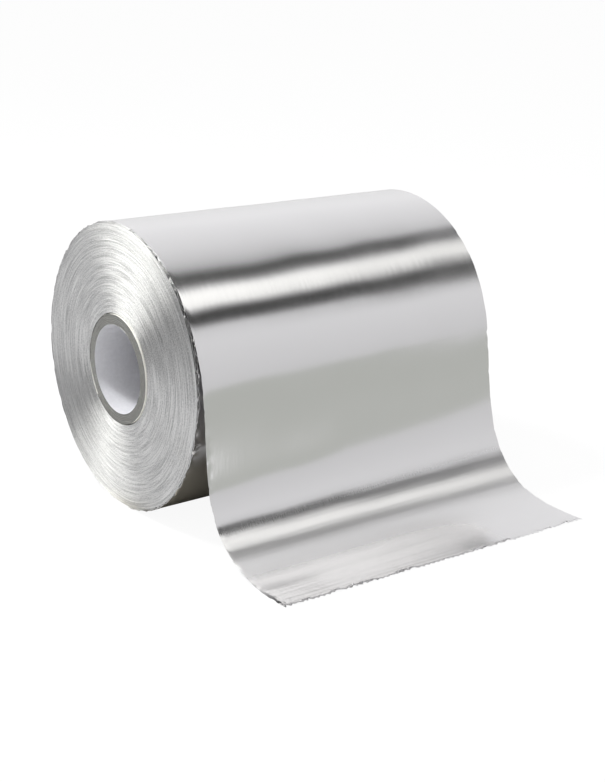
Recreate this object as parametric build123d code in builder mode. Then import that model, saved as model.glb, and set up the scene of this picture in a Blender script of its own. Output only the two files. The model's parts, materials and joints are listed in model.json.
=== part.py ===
"""A roll of household aluminium foil on a paperboard core, on its side, its tail run out in front.

Millimetres. The origin is the middle of the core's bore, on the roll's axis. +X runs along the axis and
+Z is up. The tail comes off the top of the roll and lies towards -Y. The near edge of the foil is at -X
and the far edge at +X.
"""

import os
from math import asin, cos, degrees, radians, sin

from build123d import *

# Driving sizes of the wound roll
foil_width = 120.0
roll_diameter = 95.0
flat_spot_width = 8.0

# Driving sizes of the core
core_bore_diameter = 30.0
core_wall = 3.4
core_clearance = 0.15
liner_thickness = 0.5
wrap_thickness = 0.5
board_recess = 0.3

# The web stands for one foil thickness, many times over, so that it is thick enough to mesh and collide
web_thickness = 0.4

# The loose last turn leaves the wound turns here, measured up from the front of the roll and over its top
lift_off_angle = 120.0
first_gap = 0.35

# How much larger the loose turn's circle is than the roll at each edge, and the lean of the hanging stretch
near_slack = 2.5
far_slack = 0.5
lean = 7.0

# The bend where the hanging stretch comes down to the surface, how far the middle of the cut end lies
# from the roll's axis, and how much further its far corner lies than its near one
bend_radius = 28.5
tail_reach = 97.7
cut_skew = 2.2

# The toothed cut along the tail's end
tooth_count = 60
tooth_depth = 0.9

# The wound turns as they show on each end face, inside a plain rim, and how far each turn's inner side
# stands back
turns_shown = 11
turn_rim = 0.8
turn_sink = 0.1
turn_step = 0.45

# How far a cutting shape runs past what it cuts
overrun = 2.0

# Sizes worked out from these
roll_radius = roll_diameter / 2
flat_half = flat_spot_width / 2
rest_level = -(roll_radius**2 - flat_half**2) ** 0.5
core_radius = core_bore_diameter / 2 + core_wall
wound_bore_radius = core_radius + core_clearance
wound_radius = roll_radius - web_thickness - first_gap
face_place = foil_width / 2
near_reach = tail_reach - cut_skew / 2
far_reach = tail_reach + cut_skew / 2
# The core is cut flush with the foil
core_length = foil_width


def round_roll(distance, angle, centre=(0, 0)):
    """A point in the side view, at a distance from the centre and an angle up from the roll's front."""
    turn = radians(angle)
    return (centre[0] - distance * cos(turn), centre[1] + distance * sin(turn))


# Side view: the wound turns with the loose last turn and the tail, as one closed face at one edge of the foil
def side_view(place, slack, reach):
    loose_radius = roll_radius + slack
    loose_centre = round_roll(-slack, lift_off_angle)
    bend_level = rest_level + web_thickness + bend_radius
    # The hanging stretch is the straight line that touches both the loose turn's circle and the bend's
    across = loose_centre[0] * cos(radians(lean)) - loose_centre[1] * sin(radians(lean))
    touch_down = across - loose_radius - bend_radius + bend_level * sin(radians(lean))
    bend_centre = (touch_down / cos(radians(lean)), bend_level)
    under_radius = bend_radius + web_thickness
    flat_turn = degrees(asin(flat_half / roll_radius))
    middle_turn = (lift_off_angle + flat_turn - 90) / 2
    with BuildSketch(Plane.YZ.offset(place)) as face:
        with BuildLine():
            # Front of the tail, up to where the loose turn leaves the roll
            lying_level = rest_level + web_thickness
            lying = Line((-reach, lying_level), (bend_centre[0], lying_level))
            bend = CenterArc(bend_centre, bend_radius, -90, 90 - lean)
            hanging = Line(bend @ 1, round_roll(loose_radius, lean, loose_centre))
            CenterArc(loose_centre, loose_radius, 180 - lean, lean - lift_off_angle)
            # Back of the roll, down to its flat spot
            back_turn = lift_off_angle + flat_turn - 270
            CenterArc((0, 0), roll_radius, 180 - lift_off_angle, back_turn)
            Line((flat_half, rest_level), (-flat_half, rest_level))
            # Wound turns at the front, drawing in by one web and its gap on the way up to the lift-off
            ThreePointArc(
                (-flat_half, rest_level),
                round_roll((roll_radius + wound_radius) / 2, middle_turn),
                round_roll(wound_radius, lift_off_angle),
            )
            turn_inside = roll_radius - web_thickness
            Line(round_roll(wound_radius, lift_off_angle), round_roll(turn_inside, lift_off_angle))
            # Back of the loose turn and of the tail
            loose_inside = loose_radius - web_thickness
            CenterArc(loose_centre, loose_inside, 180 - lift_off_angle, lift_off_angle - lean)
            under = CenterArc(bend_centre, under_radius, -lean, lean - 90)
            Line(round_roll(loose_inside, lean, loose_centre), under @ 0)
            Line(under @ 1, (-reach, rest_level))
            Line((-reach, rest_level), lying @ 0)
        make_face()
    return face.sketch


# Wound turns on the end faces: a spiral of half rings about two centres, a quarter of a pitch each side
# of the axis
turn_pitch = (wound_radius - turn_rim - wound_bore_radius) / turns_shown
turn_offset = turn_pitch / 4


def comb(outer_radius):
    """The outline that cuts a saw of turns into the end face at +X, from a ring in towards the bore."""
    outline = [(outer_radius, face_place + overrun), (outer_radius, face_place - turn_sink)]
    ring = outer_radius
    while ring > wound_bore_radius - turn_pitch:
        ring = ring - turn_pitch
        outline.append((ring, face_place - turn_sink - turn_step))
        outline.append((ring, face_place - turn_sink))
    outline.append((ring, face_place + overrun))
    return outline


back_ring = wound_radius - turn_rim - turn_offset
front_ring = back_ring - turn_pitch / 2
half_turns = ((lift_off_angle, front_ring, -1), (lift_off_angle + 180, back_ring, 1))
with BuildPart() as turn_marks:
    for start_angle, outer_ring, side in half_turns:
        centre = round_roll(side * turn_offset, lift_off_angle)
        outward = round_roll(1, start_angle)
        ring_plane = Plane((0, *centre), x_dir=(0, *outward), z_dir=(0, outward[1], -outward[0]))
        with BuildSketch(ring_plane):
            with BuildLine():
                Polyline(*comb(outer_ring), close=True)
            make_face()
        revolve(axis=Axis((0, *centre), (1, 0, 0)), revolution_arc=180)
    mirror(about=Plane.YZ)

# Foil: near and far outlines joined by straight rulings, then the bore, the turns and the toothed cut
near_side = side_view(-face_place, near_slack, near_reach)
far_side = side_view(face_place, far_slack, far_reach)
with BuildPart() as foil:
    loft([near_side, far_side], ruled=True)
    with BuildSketch(Plane.YZ.offset(-face_place - overrun)):
        Circle(wound_bore_radius)
    extrude(amount=foil_width + 2 * overrun, mode=Mode.SUBTRACT)
    add(turn_marks.part, mode=Mode.SUBTRACT)
    with BuildSketch(Plane.XY.offset(rest_level - overrun)):
        with BuildLine():
            saw = []
            for step in range(2 * tooth_count + 1):
                way_share = step / (2 * tooth_count)
                cut_place = near_reach + way_share * (far_reach - near_reach)
                reach = cut_place - tooth_depth * (step % 2)
                saw.append((way_share * foil_width - face_place, -reach))
            past_end = -max(near_reach, far_reach) - overrun
            Polyline(*saw, (face_place, past_end), (-face_place, past_end), close=True)
        make_face()
    extrude(amount=web_thickness + 2 * overrun, mode=Mode.SUBTRACT)
foil.part.label = "foil"

# Core: liner, board and wrap, wound together, with the board cut a little short of the others at each end
far_end = Plane.YZ.offset(core_length / 2)
near_end = Plane.YZ.offset(-core_length / 2).rotated((180, 0, 0))
with BuildPart() as core:
    with BuildSketch(Plane.YZ.offset(-core_length / 2)):
        Circle(core_radius)
        Circle(core_bore_diameter / 2, mode=Mode.SUBTRACT)
    extrude(amount=core_length)
    for end_plane in (far_end, near_end):
        with BuildSketch(end_plane):
            Circle(core_radius - wrap_thickness)
            Circle(core_bore_diameter / 2 + liner_thickness, mode=Mode.SUBTRACT)
        extrude(amount=-board_recess, mode=Mode.SUBTRACT)
core.part.label = "core"

os.makedirs("parts", exist_ok=True)
export_step(foil.part, "parts/foil.step")
export_step(core.part, "parts/core.step")
print("rest level", round(rest_level, 3), "wound radius", round(wound_radius, 3))
print("turn pitch", round(turn_pitch, 3))
print("foil", round(foil.part.volume), "core", round(core.part.volume))
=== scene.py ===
# %% [markdown]
# # A roll of household aluminium foil, its tail run out in front
#
# Foil is a mirror. It has almost no colour of its own, so nearly all that the eye sees on this roll is the
# room round it, drawn out into bands by the round of the roll and softened by the fine lines that the
# rolling mill left. The lesson therefore makes three things with equal care: the shapes, the surface, and
# the studio that they mirror.
#
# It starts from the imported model. Everything here is in metres and in that model's frame: the roll's axis
# is X, its middle is the origin, Z is up, and the tail lies towards -Y. The camera stands at the -X end.

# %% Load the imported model
import bpy
import json
from math import cos, pi, radians, sin
from mathutils import Matrix, Vector


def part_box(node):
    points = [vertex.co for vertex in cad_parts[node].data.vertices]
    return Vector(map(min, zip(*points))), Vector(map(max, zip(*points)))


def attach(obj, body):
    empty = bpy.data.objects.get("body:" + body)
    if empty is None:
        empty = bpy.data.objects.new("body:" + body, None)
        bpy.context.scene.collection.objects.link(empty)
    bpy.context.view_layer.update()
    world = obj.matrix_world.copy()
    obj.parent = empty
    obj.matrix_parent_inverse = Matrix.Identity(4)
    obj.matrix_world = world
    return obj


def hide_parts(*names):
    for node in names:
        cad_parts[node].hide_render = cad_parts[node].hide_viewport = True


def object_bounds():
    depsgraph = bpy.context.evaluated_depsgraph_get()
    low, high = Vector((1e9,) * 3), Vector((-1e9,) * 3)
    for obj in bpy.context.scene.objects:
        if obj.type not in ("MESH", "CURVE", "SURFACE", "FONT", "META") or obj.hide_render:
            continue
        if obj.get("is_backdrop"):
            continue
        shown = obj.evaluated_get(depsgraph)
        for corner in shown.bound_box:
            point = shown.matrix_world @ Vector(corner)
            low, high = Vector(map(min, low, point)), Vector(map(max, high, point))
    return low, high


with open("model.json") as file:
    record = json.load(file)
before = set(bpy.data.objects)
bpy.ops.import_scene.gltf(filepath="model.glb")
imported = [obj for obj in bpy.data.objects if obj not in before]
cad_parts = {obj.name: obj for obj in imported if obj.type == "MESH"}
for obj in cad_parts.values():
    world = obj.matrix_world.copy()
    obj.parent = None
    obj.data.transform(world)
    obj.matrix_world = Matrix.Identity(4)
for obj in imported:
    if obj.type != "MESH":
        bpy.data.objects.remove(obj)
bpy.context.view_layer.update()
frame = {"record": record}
foil_low, foil_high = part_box("foil")
core_low, core_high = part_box("core")
print("foil", [round(v * 1000, 2) for v in (*foil_low, *foil_high)], "mm")
print("core", [round(v * 1000, 2) for v in (*core_low, *core_high)], "mm")

# %% [markdown]
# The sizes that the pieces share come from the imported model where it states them, and otherwise repeat the
# model's own. A length below is in metres, and MM turns a size in millimetres into it.

# %% Shared sizes
MM = 0.001
half_width = foil_high.x
rest_level = foil_low.z
roll_radius = 47.5 * MM
core_radius = core_high.z
bore_radius = frame["record"]["mounts"][0]["dims"]["r_mm"] * MM
foil_thickness = 0.12 * MM
print("rest level", round(rest_level / MM, 2), "core", round(core_radius / MM, 2), "bore", bore_radius / MM)

# %% [markdown]
# Three helpers serve the whole lesson. The first turns a colour as a painter would name it, in hex, into
# the linear light that Blender reckons with. The second adds one node to a tree, sets it up, and joins or
# fills its inputs. The third starts a finish, which is a material with an empty tree of nodes.

# %% Helpers for colours, nodes and finishes


def linear(hex_colour):
    """An sRGB hex colour as linear red, green, blue and alpha."""
    shares = [int(hex_colour[place:place + 2], 16) / 255 for place in (1, 3, 5)]
    light = [s / 12.92 if s <= 0.04045 else ((s + 0.055) / 1.055) ** 2.4 for s in shares]
    return (*light, 1.0)


def add(tree, kind, inputs=None, **settings):
    """Adds a node. An input that is another node's socket is joined, and any other value is filled in."""
    node = tree.nodes.new(kind)
    for name, value in settings.items():
        setattr(node, name, value)
    for name, value in (inputs or {}).items():
        if isinstance(value, bpy.types.NodeSocket):
            tree.links.new(value, node.inputs[name])
        else:
            node.inputs[name].default_value = value
    return node


def start_finish(name):
    """A new material with an empty tree of nodes, as (material, tree)."""
    material = bpy.data.materials.new(name)
    material.use_nodes = True
    material.node_tree.nodes.clear()
    return material, material.node_tree


print("white is", linear("#FFFFFF")[0], "and middle grey is", round(linear("#808080")[0], 3))

# %% [markdown]
# A Geometry Nodes tree is made in two steps. `start_tree` gives an empty tree its named inputs and a plain
# value for each. `grow` runs a finished tree on a mesh, keeps what comes out as a plain mesh, and takes the
# modifier away, so that nothing live is left on the piece. A modifier knows its inputs by their identifiers,
# not by their names.

# %% Helpers for geometry trees


def start_tree(name, sizes):
    """A geometry tree with a Geometry input and these named ones, as (tree, its inputs, its output node)."""
    tree = bpy.data.node_groups.new(name, "GeometryNodeTree")
    tree.interface.new_socket("Geometry", in_out="INPUT", socket_type="NodeSocketGeometry")
    for label, value in sizes.items():
        if isinstance(value, bpy.types.Material):
            kind = "NodeSocketMaterial"
        elif isinstance(value, int):
            kind = "NodeSocketInt"
        else:
            kind = "NodeSocketFloat"
        socket = tree.interface.new_socket(label, in_out="INPUT", socket_type=kind)
        socket.default_value = value
    tree.interface.new_socket("Geometry", in_out="OUTPUT", socket_type="NodeSocketGeometry")
    return tree, add(tree, "NodeGroupInput").outputs, add(tree, "NodeGroupOutput")


def grow(name, tree, sizes, points=()):
    """Runs the tree on a mesh of these points and returns the result as a plain mesh object."""
    seed_mesh = bpy.data.meshes.new(name + "_seed")
    seed_mesh.from_pydata(list(points), [], [])
    grower = bpy.data.objects.new(name + "_grower", seed_mesh)
    bpy.context.scene.collection.objects.link(grower)
    modifier = grower.modifiers.new("grow", "NODES")
    modifier.node_group = tree
    for socket in tree.interface.items_tree:
        if socket.in_out == "INPUT" and socket.name in sizes:
            modifier[socket.identifier] = sizes[socket.name]
    grown = grower.evaluated_get(bpy.context.evaluated_depsgraph_get())
    mesh = bpy.data.meshes.new_from_object(grown)
    bpy.data.objects.remove(grower)
    mesh.name = name
    piece = bpy.data.objects.new(name, mesh)
    bpy.context.scene.collection.objects.link(piece)
    mesh.calc_loop_triangles()
    print(name, len(mesh.loop_triangles), "triangles,", len(mesh.materials), "finishes")
    return piece


# %% [markdown]
# ## Finishes
#
# **Bright rolled foil.** The last pass of the mill polishes the foil against smooth rolls, which leave only
# hair lines along its length. So light spreads across the strip and hardly at all along it: the bands that
# run along the roll's axis keep fairly sharp edges, and everything else blurs along them. That is an
# anisotropic metal whose tangent runs across the strip, with a bump of lines 0.3 mm apart. Real lines are
# some hundredths of a millimetre apart, which no picture of the whole roll could show.

# %% Finish: bright rolled foil
# The strip's map is in metres. Each pattern is noise on it: how many grains go into a metre across the
# strip and along it, how much detail they hold, and how deep they are, counted in depths of a hair line
foil_patterns = {
    # 0.3 mm apart and some 80 mm long
    "hair lines": (3300, 12, 3.0, 0.4),
    # 12 mm apart and slow, so that the edges of a band wander
    "waves": (85, 22, 2.0, 42.0),
    # 0.8 mm apart and 8 mm long, so that the edges of a band fray
    "streaks": (1200, 120, 2.0, 20.0),
    # From side to side and 4 mm apart, only where the tail was handled
    "creases": (14, 260, 2.0, 60.0)}


def rolled_foil(name, roughness, line_depth, tone):
    """Foil as the mill leaves it: it spreads light across the strip and has hair lines along its length."""
    material, tree = start_finish(name)
    strip = add(tree, "ShaderNodeUVMap", uv_map="UVMap").outputs[0]
    handled = add(tree, "ShaderNodeAttribute", attribute_name="handled").outputs["Fac"]
    grains, height = {}, 0.0
    for pattern, (across, along, detail, depth) in foil_patterns.items():
        place = add(tree, "ShaderNodeMapping", {"Vector": strip, "Scale": (across, along, 1)}).outputs[0]
        grain = add(tree, "ShaderNodeTexNoise", {"Vector": place, "Scale": 1.0, "Detail": detail},
                    label=pattern)
        grains[pattern] = grain.outputs["Fac"]
        shown = grains[pattern]
        if pattern == "creases":
            shown = add(tree, "ShaderNodeMath", {0: shown, 1: handled}, operation="MULTIPLY").outputs[0]
        height = add(tree, "ShaderNodeMath", {0: shown, 1: depth, 2: height},
                     operation="MULTIPLY_ADD").outputs[0]
    bump = add(tree, "ShaderNodeBump", {"Strength": 1.0, "Distance": line_depth, "Height": height}).outputs[0]
    # The hair lines differ a little in how dull they are, and handling dulls the foil
    dullness = add(tree, "ShaderNodeMapRange",
                   {"Value": grains["hair lines"], "From Min": 0.3, "From Max": 0.7,
                    "To Min": roughness * 0.93, "To Max": roughness * 1.07}).outputs[0]
    dullness = add(tree, "ShaderNodeMath", {0: handled, 1: 0.14, 2: dullness},
                   operation="MULTIPLY_ADD").outputs[0]
    tangent = add(tree, "ShaderNodeTangent", direction_type="UV_MAP", uv_map="UVMap").outputs[0]
    metal = add(tree, "ShaderNodeBsdfPrincipled", {
        "Base Color": linear(tone), "Metallic": 1.0, "Roughness": dullness, "Anisotropic": 0.8,
        "Tangent": tangent, "Normal": bump})
    add(tree, "ShaderNodeOutputMaterial", {"Surface": metal.outputs[0]})
    return material


bright_foil = rolled_foil("bright_rolled_foil", 0.19, 0.0012 * MM, "#F5F4F6")
print(bright_foil.name, "has", len(bright_foil.node_tree.nodes), "nodes")

# %% [markdown]
# ** Matt side.** Household foil is rolled two strips at a time in the last pass. The side that met the other
# strip instead of a polished roll stays matt, and it is the inner side here: the same metal, rougher and
# greyer.

# %% Finish: matt side of the foil
matt_foil = rolled_foil("matt_rolled_foil", 0.42, 0.002 * MM, "#C6C5C6")
print(matt_foil.name, "has", len(matt_foil.node_tree.nodes), "nodes")

# %% [markdown]
# **Slit edges of the turns.** An end of the roll is thousands of slit foil edges side by side, a surface of
# circular grooves. Like the bottom of a spun pan it throws light into two opposite wedges, because each
# groove spreads light only across itself. Its tangent is therefore the direction straight out from the
# axis. Some turns stand a little proud and some are burred, which draws the broken rings.

# %% Finish: slit edges of the turns
foil_edges, tree = start_finish("slit_foil_edges")
place = add(tree, "ShaderNodeTexCoord").outputs["Object"]
across = add(tree, "ShaderNodeVectorMath", {0: place, 1: (0, 1, 1)}, operation="MULTIPLY").outputs[0]
outward = add(tree, "ShaderNodeVectorMath", {0: across}, operation="NORMALIZE").outputs[0]
radius = add(tree, "ShaderNodeVectorMath", {0: across}, operation="LENGTH").outputs["Value"]
# Rings 0.5 mm apart whose strength changes on the way round: distance from the axis is the noise's first
# direction, and the other two go once round a small circle
ring_count = add(tree, "ShaderNodeMath", {0: radius, 1: 1 / (0.5 * MM)}, operation="MULTIPLY").outputs[0]
round_way = add(tree, "ShaderNodeVectorMath", {0: outward, "Scale": 2.2}, operation="SCALE").outputs[0]
round_parts = add(tree, "ShaderNodeSeparateXYZ", {0: round_way}).outputs
ring_place = add(tree, "ShaderNodeCombineXYZ",
                 {0: ring_count, 1: round_parts[1], 2: round_parts[2]}).outputs[0]
rings = add(tree, "ShaderNodeTexNoise",
            {"Vector": ring_place, "Scale": 1.0, "Detail": 4.0, "Roughness": 0.65}).outputs["Fac"]
# Burrs are grains 0.4 mm across
burrs = add(tree, "ShaderNodeTexNoise",
            {"Vector": place, "Scale": 1 / (0.4 * MM), "Detail": 2.0}).outputs["Fac"]
height = add(tree, "ShaderNodeMath", {0: burrs, 1: 0.6, 2: rings}, operation="MULTIPLY_ADD").outputs[0]
bump = add(tree, "ShaderNodeBump", {"Strength": 1.0, "Distance": 0.14 * MM, "Height": height}).outputs[0]
# The tone follows the height: what lies deep is grey, a painted shade in the hollows, and what stands proud
# is bright
tone = add(tree, "ShaderNodeMath", {0: burrs, 1: 0.8, 2: rings}, operation="MULTIPLY_ADD").outputs[0]
tone = add(tree, "ShaderNodeMapRange", {"Value": tone, "From Min": 0.72, "From Max": 1.05}).outputs[0]
colour = add(tree, "ShaderNodeMix", {0: tone, 6: linear("#BCBCBD"), 7: linear("#FFFFFF")}, data_type="RGBA")
metal = add(tree, "ShaderNodeBsdfPrincipled", {
    "Base Color": colour.outputs[2], "Metallic": 1.0, "Roughness": 0.36, "Anisotropic": 1.0,
    "Tangent": outward, "Normal": bump})
add(tree, "ShaderNodeOutputMaterial", {"Surface": metal.outputs[0]})
print(foil_edges.name, "has", len(tree.nodes), "nodes")

# %% [markdown]
# **Grey core board.** The tube is wound from strips of recycled board half a millimetre thick, glued with a
# water-based glue. Its cut end is matt, grey and fibrous, and the glue lines between the plies show a
# little darker.

# %% Finish: grey core board
board, tree = start_finish("grey_wound_board")
place = add(tree, "ShaderNodeTexCoord").outputs["Object"]
across = add(tree, "ShaderNodeVectorMath", {0: place, 1: (0, 1, 1)}, operation="MULTIPLY").outputs[0]
radius = add(tree, "ShaderNodeVectorMath", {0: across}, operation="LENGTH").outputs["Value"]
# Clumps of fibres are 0.6 mm across
fibres = add(tree, "ShaderNodeTexNoise", {"Vector": place, "Scale": 1600.0, "Detail": 4.0}).outputs["Fac"]
# A glue line each 0.57 mm outwards, pushed about by the fibres
ply = add(tree, "ShaderNodeMath", {0: radius, 1: 2 * pi / (0.57 * MM), 2: fibres},
          operation="MULTIPLY_ADD").outputs[0]
glue = add(tree, "ShaderNodeMath", {0: ply}, operation="SINE").outputs[0]
dark = add(tree, "ShaderNodeMapRange", {"Value": glue, "From Min": 0.3, "From Max": 1.0}).outputs[0]
wall = add(tree, "ShaderNodeMix", {0: fibres, 6: linear("#565653"), 7: linear("#7C7C79")},
           data_type="RGBA").outputs[2]
colour = add(tree, "ShaderNodeMix", {0: dark, 6: wall, 7: linear("#3C3C39")}, data_type="RGBA").outputs[2]
bump = add(tree, "ShaderNodeBump", {"Strength": 0.8, "Distance": 0.1 * MM, "Height": fibres}).outputs[0]
paper = add(tree, "ShaderNodeBsdfPrincipled", {"Base Color": colour, "Roughness": 0.92, "Normal": bump})
add(tree, "ShaderNodeOutputMaterial", {"Surface": paper.outputs[0]})
print(board.name, "has", len(tree.nodes), "nodes")

# %% [markdown]
# **Pale paper plies.** The innermost and the outermost strip of the tube are smoother, paler paper: a cool
# grey liner in the bore, and a cream wrap round the outside. Each has a helical seam where its edges meet,
# a fine line that climbs round the tube.

# %% Finish: pale paper plies with their seam


def paper_ply(name, dark_tone, pale_tone):
    """Smooth paper wound into a tube, with the helical seam where its edges meet."""
    material, tree = start_finish(name)
    place = add(tree, "ShaderNodeTexCoord").outputs["Object"]
    parts = add(tree, "ShaderNodeSeparateXYZ", {0: place}).outputs
    angle = add(tree, "ShaderNodeMath", {0: parts[2], 1: parts[1]}, operation="ARCTAN2").outputs[0]
    turn = add(tree, "ShaderNodeMath", {0: angle, 1: 1 / (2 * pi)}, operation="MULTIPLY").outputs[0]
    # One turn of the seam takes 70 mm of tube
    along = add(tree, "ShaderNodeMath", {0: parts[0], 1: 1 / (70 * MM), 2: turn},
                operation="MULTIPLY_ADD").outputs[0]
    seam_place = add(tree, "ShaderNodeMath", {0: along}, operation="FRACT").outputs[0]
    seam = add(tree, "ShaderNodeMath", {0: seam_place, 1: 0.5, 2: 0.006}, operation="COMPARE").outputs[0]
    # Clumps of fibres are 1.1 mm across
    fibres = add(tree, "ShaderNodeTexNoise", {"Vector": place, "Scale": 900.0, "Detail": 3.0}).outputs["Fac"]
    wall = add(tree, "ShaderNodeMix", {0: fibres, 6: linear(dark_tone), 7: linear(pale_tone)},
               data_type="RGBA").outputs[2]
    colour = add(tree, "ShaderNodeMix", {0: seam, 6: wall, 7: linear("#E4E4E2")}, data_type="RGBA").outputs[2]
    height = add(tree, "ShaderNodeMath", {0: seam, 1: 2.0, 2: fibres}, operation="MULTIPLY_ADD").outputs[0]
    dullness = add(tree, "ShaderNodeMapRange", {"Value": fibres, "To Min": 0.5, "To Max": 0.7}).outputs[0]
    bump = add(tree, "ShaderNodeBump", {"Strength": 0.5, "Distance": 0.1 * MM, "Height": height}).outputs[0]
    paper = add(tree, "ShaderNodeBsdfPrincipled",
                {"Base Color": colour, "Roughness": dullness, "Normal": bump})
    add(tree, "ShaderNodeOutputMaterial", {"Surface": paper.outputs[0]})
    print(name, "has", len(tree.nodes), "nodes")
    return material


liner = paper_ply("pale_paper_ply", "#AFAFB3", "#C4C4C8")
wrap = paper_ply("cream_paper_ply", "#D2D1C9", "#E6E5DF")

# %% [markdown]
# ## The wound turns
#
# A strip wound on a core is a spiral, and its ends are a spiral of edges, none of them quite level with its
# neighbours. Modelled as rings, the turns would close on themselves. So one grid is bent into the whole
# body: one way it goes round the axis, the other way up one end, across the outside and down the other end,
# and on the ends each trip round shifts it outwards by one turn. Where the first and the last column meet,
# row by row, they are merged. The same tree winds the paper tube, with fewer and thicker turns.
#
# The first part of the tree lays the grid and works out which end, and which row of it, a point belongs to.

# %% Tree: the rows of a body wound in a spiral
wound_sizes = {"Half Width": 0.06, "Inner Radius": 0.0185, "Outer Radius": 0.047, "Turns": 34, "Rows": 4,
               "Around": 200, "Stand": 0.0001, "Groove": 0.0001, "Changes": 1.5, "Near Bulge": 0.0,
               "Far Bulge": 0.0, "Rest Level": -1.0, "Seed": 1.0, "Side Finish": bright_foil,
               "End Finish": foil_edges, "Bore Finish": liner}
tree, size, finished = start_tree("wind_turns", wound_sizes)
rows_in_end = add(tree, "ShaderNodeMath", {0: size["Turns"], 1: 1.0}, operation="ADD").outputs[0]
end_rows = add(tree, "ShaderNodeMath", {0: rows_in_end, 1: size["Rows"]}, operation="MULTIPLY").outputs[0]
all_rows = add(tree, "ShaderNodeMath", {0: end_rows, 1: 2.0, 2: 3.0}, operation="MULTIPLY_ADD").outputs[0]
columns = add(tree, "ShaderNodeMath", {0: size["Around"], 1: 1.0}, operation="ADD").outputs[0]
grid = add(tree, "GeometryNodeMeshGrid",
           {"Size X": 1.0, "Size Y": 1.0, "Vertices X": columns, "Vertices Y": all_rows}).outputs[0]
spot = add(tree, "ShaderNodeSeparateXYZ", {0: add(tree, "GeometryNodeInputPosition").outputs[0]}).outputs
way_round = add(tree, "ShaderNodeMath", {0: spot[0], 1: 0.5}, operation="ADD").outputs[0]
way_up = add(tree, "ShaderNodeMath", {0: spot[1], 1: 0.5}, operation="ADD").outputs[0]
last_row = add(tree, "ShaderNodeMath", {0: all_rows, 1: 1.0}, operation="SUBTRACT").outputs[0]
row_share = add(tree, "ShaderNodeMath", {0: way_up, 1: last_row}, operation="MULTIPLY").outputs[0]
row = add(tree, "ShaderNodeMath", {0: row_share}, operation="ROUND").outputs[0]
# The rows climb the near end, come down the far end, and the last one closes on the first
far_row = add(tree, "ShaderNodeMath", {0: all_rows, 1: 2.0}, operation="SUBTRACT").outputs[0]
down_row = add(tree, "ShaderNodeMath", {0: far_row, 1: row}, operation="SUBTRACT").outputs[0]
is_far = add(tree, "FunctionNodeCompare", {0: row, 1: end_rows}, data_type="FLOAT", operation="GREATER_THAN")
is_last = add(tree, "FunctionNodeCompare", {0: down_row, 1: -0.5}, data_type="FLOAT", operation="LESS_THAN")
end_row = add(tree, "GeometryNodeSwitch", {0: is_far.outputs[0], 1: row, 2: down_row},
              input_type="FLOAT").outputs[0]
end_row = add(tree, "GeometryNodeSwitch", {0: is_last.outputs[0], 1: end_row, 2: 0.0},
              input_type="FLOAT").outputs[0]
near_side = add(tree, "GeometryNodeSwitch", {0: is_far.outputs[0], 1: -1.0, 2: 1.0},
                input_type="FLOAT").outputs[0]
side = add(tree, "GeometryNodeSwitch", {0: is_last.outputs[0], 1: near_side, 2: -1.0},
           input_type="FLOAT").outputs[0]
print("the rows take", len(tree.nodes), "nodes")

# %% [markdown]
# The second part works out how far from the axis each point lies. Each trip round adds one turn, and the
# count is cut off at the bore and at the rim, so that both are true circles. The outer turns bulge towards
# the front, where the last ones have come loose: most of all at 50 degrees above the level, and not at all
# behind and under the roll.

# %% Tree: how far out a point lies
turn_out = add(tree, "ShaderNodeMath", {0: end_row, 1: size["Rows"]}, operation="DIVIDE").outputs[0]
turn_out = add(tree, "ShaderNodeMath", {0: turn_out, 1: way_round}, operation="ADD").outputs[0]
turn_out = add(tree, "ShaderNodeMath", {0: turn_out, 1: 1.0}, operation="SUBTRACT").outputs[0]
share_out = add(tree, "ShaderNodeMapRange", {"Value": turn_out, "From Max": size["Turns"]}).outputs[0]
distance = add(tree, "ShaderNodeMapRange", {"Value": share_out, "To Min": size["Inner Radius"],
                                            "To Max": size["Outer Radius"]}).outputs[0]
turned = add(tree, "ShaderNodeMath", {0: way_round, 1: 2 * pi}, operation="MULTIPLY").outputs[0]
level_part = add(tree, "ShaderNodeMath", {0: turned}, operation="COSINE").outputs[0]
upright_part = add(tree, "ShaderNodeMath", {0: turned}, operation="SINE").outputs[0]
# In degrees up from the front, the bulge fades in from the first of each pair to the second
fade_above, fade_below = (150, 60), (-45, 45)
front_part = add(tree, "ShaderNodeMath", {0: level_part, 1: -1.0}, operation="MULTIPLY").outputs[0]
angle_up = add(tree, "ShaderNodeMath", {0: upright_part, 1: front_part}, operation="ARCTAN2").outputs[0]
bulge_size = add(tree, "GeometryNodeSwitch", {0: is_far.outputs[0], 1: size["Near Bulge"],
                                              2: size["Far Bulge"]}, input_type="FLOAT").outputs[0]
for start, whole in (fade_above, fade_below):
    fade = add(tree, "ShaderNodeMapRange",
               {"Value": angle_up, "From Min": radians(start), "From Max": radians(whole)},
               interpolation_type="SMOOTHSTEP").outputs[0]
    bulge_size = add(tree, "ShaderNodeMath", {0: bulge_size, 1: fade}, operation="MULTIPLY").outputs[0]
# It starts not quite half-way out
bulge_out = add(tree, "ShaderNodeMapRange",
                {"Value": share_out, "From Min": 0.45, "From Max": 1.0}).outputs[0]
bulge_size = add(tree, "ShaderNodeMath", {0: bulge_size, 1: bulge_out}, operation="MULTIPLY").outputs[0]
distance = add(tree, "ShaderNodeMath", {0: distance, 1: bulge_size}, operation="ADD").outputs[0]
print("with the distances it has", len(tree.nodes), "nodes")

# %% [markdown]
# The third part sets how far each stretch of a turn stands back from the end. A turn's number runs on along
# the spiral, and noise is read by that number and by the way round. A fine groove parts the turns.

# %% Tree: how far back a turn stands
which_turn = add(tree, "ShaderNodeMath", {0: end_row, 1: size["Rows"]}, operation="DIVIDE").outputs[0]
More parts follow.
